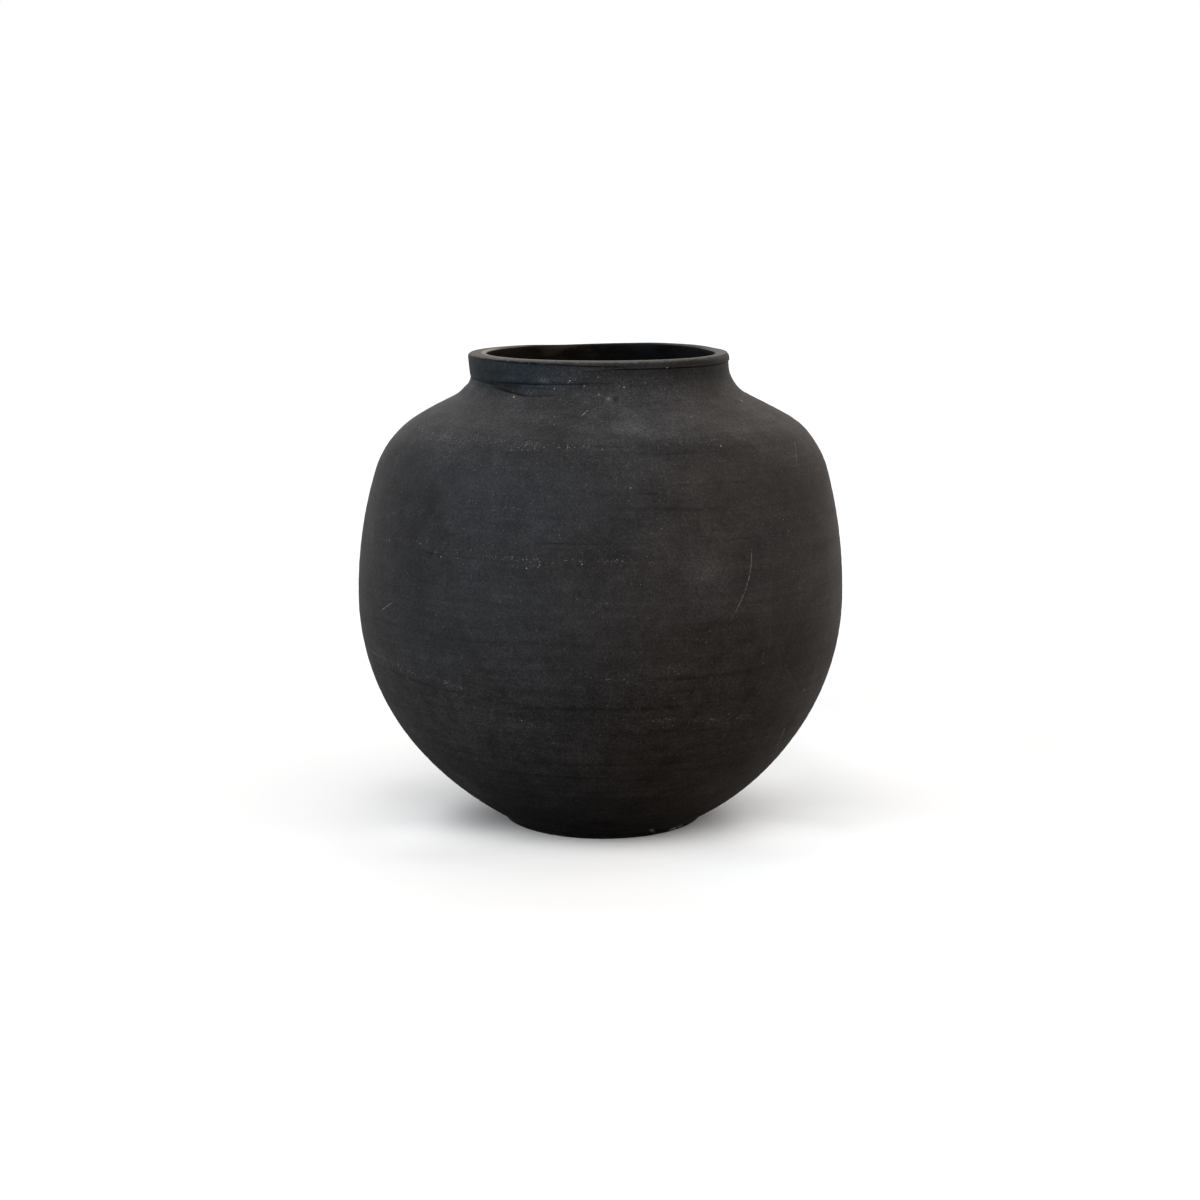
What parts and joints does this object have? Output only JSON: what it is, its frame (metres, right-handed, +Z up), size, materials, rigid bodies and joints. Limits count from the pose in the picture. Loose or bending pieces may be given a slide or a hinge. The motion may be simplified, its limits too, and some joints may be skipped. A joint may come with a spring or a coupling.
{
  "type": "vase",
  "caption": "Globular matt black unglazed ceramic vase with a low collar neck, rolled lip and small flat foot, for stems or dry branches.",
  "frame": {"origin": "centre of the foot's standing plane", "axes": "+Z up along the vase's axis, towards the mouth; the vase is round, so X and Y are free"},
  "size_m": [0.31, 0.31, 0.301],
  "materials": {
    "clay": "matt, unglazed black clay"
  },
  "bodies": {
    "root": {"base_slab": "clay", "bowl_course": "clay", "lower_course": "clay", "belly_course": "clay", "upper_course": "clay", "shoulder_course": "clay", "neck_collar": "clay", "lip_roll": "clay"}
  },
  "joints": []
}
